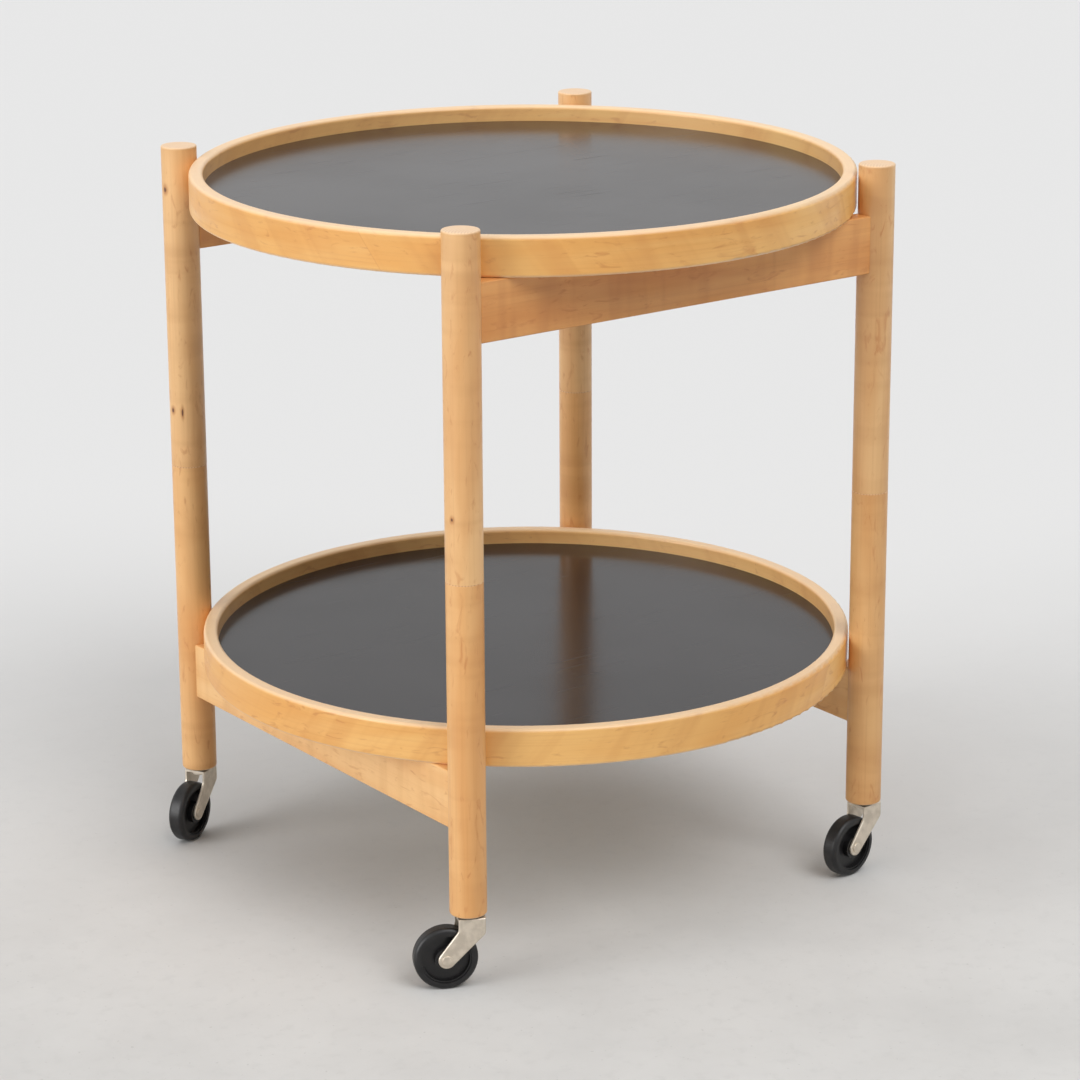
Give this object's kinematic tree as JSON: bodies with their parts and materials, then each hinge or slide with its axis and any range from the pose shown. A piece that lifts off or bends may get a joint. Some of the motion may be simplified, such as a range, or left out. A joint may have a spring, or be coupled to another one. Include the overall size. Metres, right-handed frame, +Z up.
{
  "type": "serving trolley",
  "caption": "Round tiered serving trolley: jointed wooden dowel legs on swivel casters, rails on edge, and loose bent-wood trays with laminate faces that lift off.",
  "frame": {"origin": "on the floor, under the middle of the trays", "axes": "+Z up along the legs, X along the upper rails, Y along the lower rails"},
  "size_m": [0.55, 0.55, 0.615],
  "materials": {
    "leg_birch": "clear satin lacquer",
    "rail_birch": "clear satin lacquer",
    "bent_birch": "clear satin lacquer",
    "dowel_birch": "raw",
    "plywood": "raw",
    "black_laminate": "satin",
    "pale_laminate": "satin",
    "zinc_steel": "zinc plated",
    "dark_steel": "dull",
    "spring_steel": "oiled",
    "drawn_steel": "drawn",
    "black_nylon": "matte",
    "black_plastic": "satin",
    "black_rubber": "matte"
  },
  "bodies": {
    "frame": {"leg_front_left_upper": "leg_birch", "leg_front_left_lower": "leg_birch", "leg_front_right_upper": "leg_birch", "leg_front_right_lower": "leg_birch", "leg_back_left_upper": "leg_birch", "leg_back_left_lower": "leg_birch", "leg_back_right_upper": "leg_birch", "leg_back_right_lower": "leg_birch", "upper_rail_front": "rail_birch", "upper_rail_back": "rail_birch", "lower_rail_left": "rail_birch", "lower_rail_right": "rail_birch", "upper_rail_dowels": "dowel_birch", "lower_rail_dowels": "dowel_birch", "leg_pins": "drawn_steel", "caster_front_left_socket": "dark_steel", "caster_front_right_socket": "dark_steel", "caster_back_left_socket": "dark_steel", "caster_back_right_socket": "dark_steel"},
    "upper_tray": {"upper_tray_rim": "bent_birch", "upper_tray_core": "plywood", "upper_tray_top_laminate": "black_laminate", "upper_tray_bottom_laminate": "pale_laminate"},
    "lower_tray": {"lower_tray_rim": "bent_birch", "lower_tray_core": "plywood", "lower_tray_top_laminate": "black_laminate", "lower_tray_bottom_laminate": "pale_laminate"},
    "caster_front_left": {"caster_front_left_stem": "zinc_steel", "caster_front_left_grip_ring": "spring_steel", "caster_front_left_washer": "black_nylon", "caster_front_left_fork": "zinc_steel", "caster_front_left_axle": "zinc_steel"},
    "wheel_front_left": {"wheel_front_left_hub": "black_plastic", "wheel_front_left_bush": "drawn_steel", "wheel_front_left_tyre": "black_rubber"},
    "caster_front_right": {"caster_front_right_stem": "zinc_steel", "caster_front_right_grip_ring": "spring_steel", "caster_front_right_washer": "black_nylon", "caster_front_right_fork": "zinc_steel", "caster_front_right_axle": "zinc_steel"},
    "wheel_front_right": {"wheel_front_right_hub": "black_plastic", "wheel_front_right_bush": "drawn_steel", "wheel_front_right_tyre": "black_rubber"},
    "caster_back_left": {"caster_back_left_stem": "zinc_steel", "caster_back_left_grip_ring": "spring_steel", "caster_back_left_washer": "black_nylon", "caster_back_left_fork": "zinc_steel", "caster_back_left_axle": "zinc_steel"},
    "wheel_back_left": {"wheel_back_left_hub": "black_plastic", "wheel_back_left_bush": "drawn_steel", "wheel_back_left_tyre": "black_rubber"},
    "caster_back_right": {"caster_back_right_stem": "zinc_steel", "caster_back_right_grip_ring": "spring_steel", "caster_back_right_washer": "black_nylon", "caster_back_right_fork": "zinc_steel", "caster_back_right_axle": "zinc_steel"},
    "wheel_back_right": {"wheel_back_right_hub": "black_plastic", "wheel_back_right_bush": "drawn_steel", "wheel_back_right_tyre": "black_rubber"}
  },
  "joints": [
    {"name": "upper_tray_lift", "type": "slide", "parent": "frame", "child": "upper_tray", "axis": [0, 0, 1], "range_m": [0, 0.15]},
    {"name": "lower_tray_lift", "type": "slide", "parent": "frame", "child": "lower_tray", "axis": [0, 0, 1], "range_m": [0, 0.3]},
    {"name": "front_left_swivel", "type": "hinge", "parent": "frame", "child": "caster_front_left", "pos_m": [-0.20612, -0.20612, 0.062], "axis": [0, 0, 1], "continuous": true},
    {"name": "front_left_roll", "type": "hinge", "parent": "caster_front_left", "child": "wheel_front_left", "pos_m": [-0.22334, -0.19809, 0.026], "axis": [-0.4226, -0.9063, 0], "continuous": true},
    {"name": "front_right_swivel", "type": "hinge", "parent": "frame", "child": "caster_front_right", "pos_m": [0.20612, -0.20612, 0.062], "axis": [0, 0, 1], "continuous": true},
    {"name": "front_right_roll", "type": "hinge", "parent": "caster_front_right", "child": "wheel_front_right", "pos_m": [0.18736, -0.20909, 0.026], "axis": [0.1564, -0.9877, 0], "continuous": true},
    {"name": "back_left_swivel", "type": "hinge", "parent": "frame", "child": "caster_back_left", "pos_m": [-0.20612, 0.20612, 0.062], "axis": [0, 0, 1], "continuous": true},
    {"name": "back_left_roll", "type": "hinge", "parent": "caster_back_left", "child": "wheel_back_left", "pos_m": [-0.2229, 0.1972, 0.026], "axis": [0.4695, -0.8829, 0], "continuous": true},
    {"name": "back_right_swivel", "type": "hinge", "parent": "frame", "child": "caster_back_right", "pos_m": [0.20612, 0.20612, 0.062], "axis": [0, 0, 1], "continuous": true},
    {"name": "back_right_roll", "type": "hinge", "parent": "caster_back_right", "child": "wheel_back_right", "pos_m": [0.18712, 0.20612, 0.026], "axis": [0, -1, 0], "continuous": true}
  ]
}
